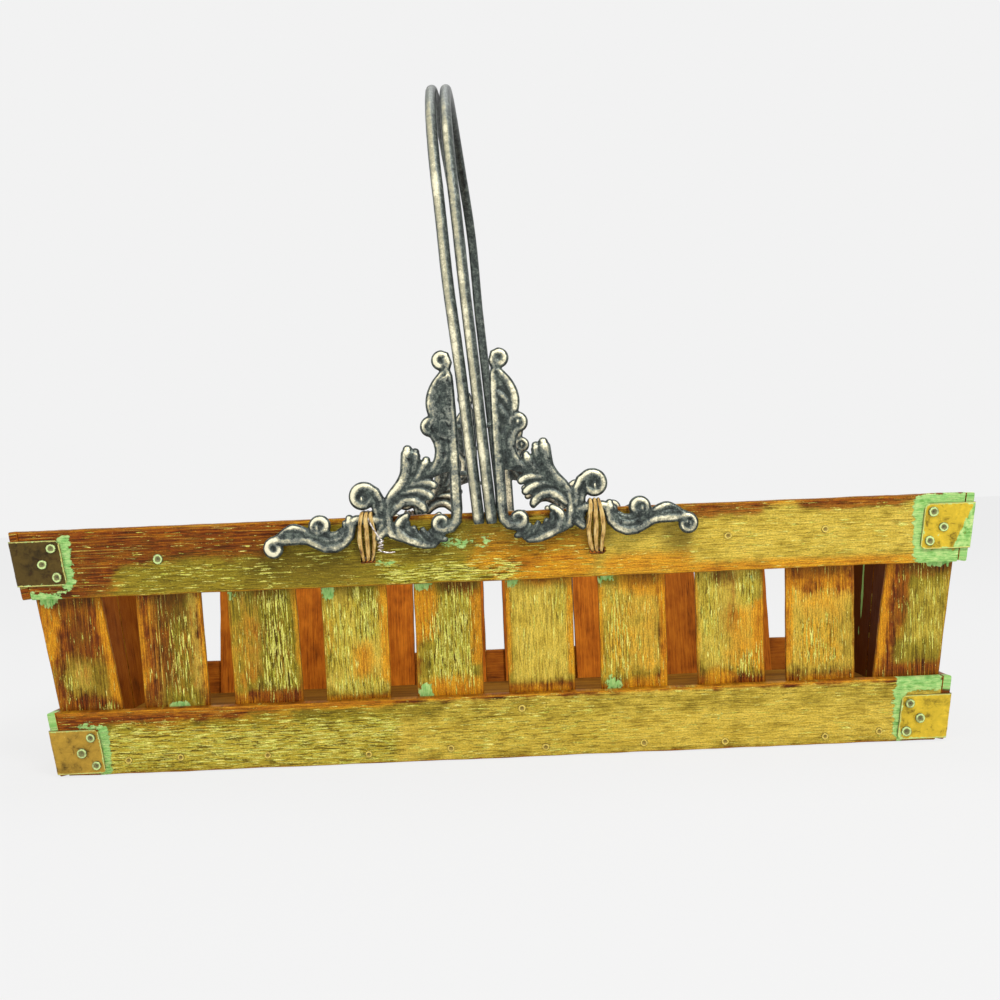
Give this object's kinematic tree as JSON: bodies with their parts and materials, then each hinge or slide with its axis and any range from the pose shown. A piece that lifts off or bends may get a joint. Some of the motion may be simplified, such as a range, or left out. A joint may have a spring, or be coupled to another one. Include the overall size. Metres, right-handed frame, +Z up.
{
  "type": "wooden slat basket",
  "caption": "Long open basket of thin wooden slats nailed inside rails over a base board, with metal corner plates and a tall arched twin-rod handle on cast scroll brackets.",
  "frame": {"origin": "on the surface that the basket stands on, under the middle of its base", "axes": "+X along the basket's length, -Y to its front, +Z up"},
  "size_m": [0.5608, 0.2198, 0.4279],
  "materials": {
    "rail_wood": "worn olive and orange paint over bare wood, rubbed along the edges",
    "slat_wood": "thin rubbed yellow-green paint streaked along the grain, orange-brown bare edges",
    "board_wood": "bare stained board",
    "plate_metal": "aged golden sheet with chipped pale green paint",
    "nail_metal": "round heads with rubbed pale paint and dark centres",
    "handle_metal": "dark grey-green pitted metal with rubbed cream highlights",
    "cane": "split cane, slightly glossy",
    "wire_metal": "thin bright wire"
  },
  "bodies": {
    "root": {"base_board": "board_wood", "front_bottom_rail": "rail_wood", "back_bottom_rail": "rail_wood", "left_bottom_rail": "rail_wood", "right_bottom_rail": "rail_wood", "front_top_rail": "rail_wood", "back_top_rail": "rail_wood", "left_top_rail": "rail_wood", "right_top_rail": "rail_wood", "front_slat_01": "slat_wood", "front_slat_02": "slat_wood", "front_slat_03": "slat_wood", "front_slat_04": "slat_wood", "front_slat_05": "slat_wood", "front_slat_06": "slat_wood", "front_slat_07": "slat_wood", "front_slat_08": "slat_wood", "front_slat_09": "slat_wood", "front_slat_10": "slat_wood", "back_slat_01": "slat_wood", "back_slat_02": "slat_wood", "back_slat_03": "slat_wood", "back_slat_04": "slat_wood", "back_slat_05": "slat_wood", "back_slat_06": "slat_wood", "back_slat_07": "slat_wood", "back_slat_08": "slat_wood", "back_slat_09": "slat_wood", "back_slat_10": "slat_wood", "left_slat_01": "slat_wood", "left_slat_02": "slat_wood", "left_slat_03": "slat_wood", "right_slat_01": "slat_wood", "right_slat_02": "slat_wood", "right_slat_03": "slat_wood", "front_left_top_plate": "plate_metal", "front_left_bottom_plate": "plate_metal", "front_right_top_plate": "plate_metal", "front_right_bottom_plate": "plate_metal", "back_left_top_plate": "plate_metal", "back_left_bottom_plate": "plate_metal", "back_right_top_plate": "plate_metal", "back_right_bottom_plate": "plate_metal", "handle_rod_left": "handle_metal", "handle_rod_right": "handle_metal", "front_left_bracket": "handle_metal", "front_right_bracket": "handle_metal", "back_left_bracket": "handle_metal", "back_right_bracket": "handle_metal", "front_left_upper_pin": "handle_metal", "front_left_lower_pin": "handle_metal", "front_right_upper_pin": "handle_metal", "back_left_upper_pin": "handle_metal", "back_left_lower_pin": "handle_metal", "back_right_upper_pin": "handle_metal", "front_left_tie": "cane", "front_right_tie": "cane", "back_left_tie": "cane", "back_right_tie": "cane", "front_left_wire": "wire_metal"}
  },
  "joints": []
}
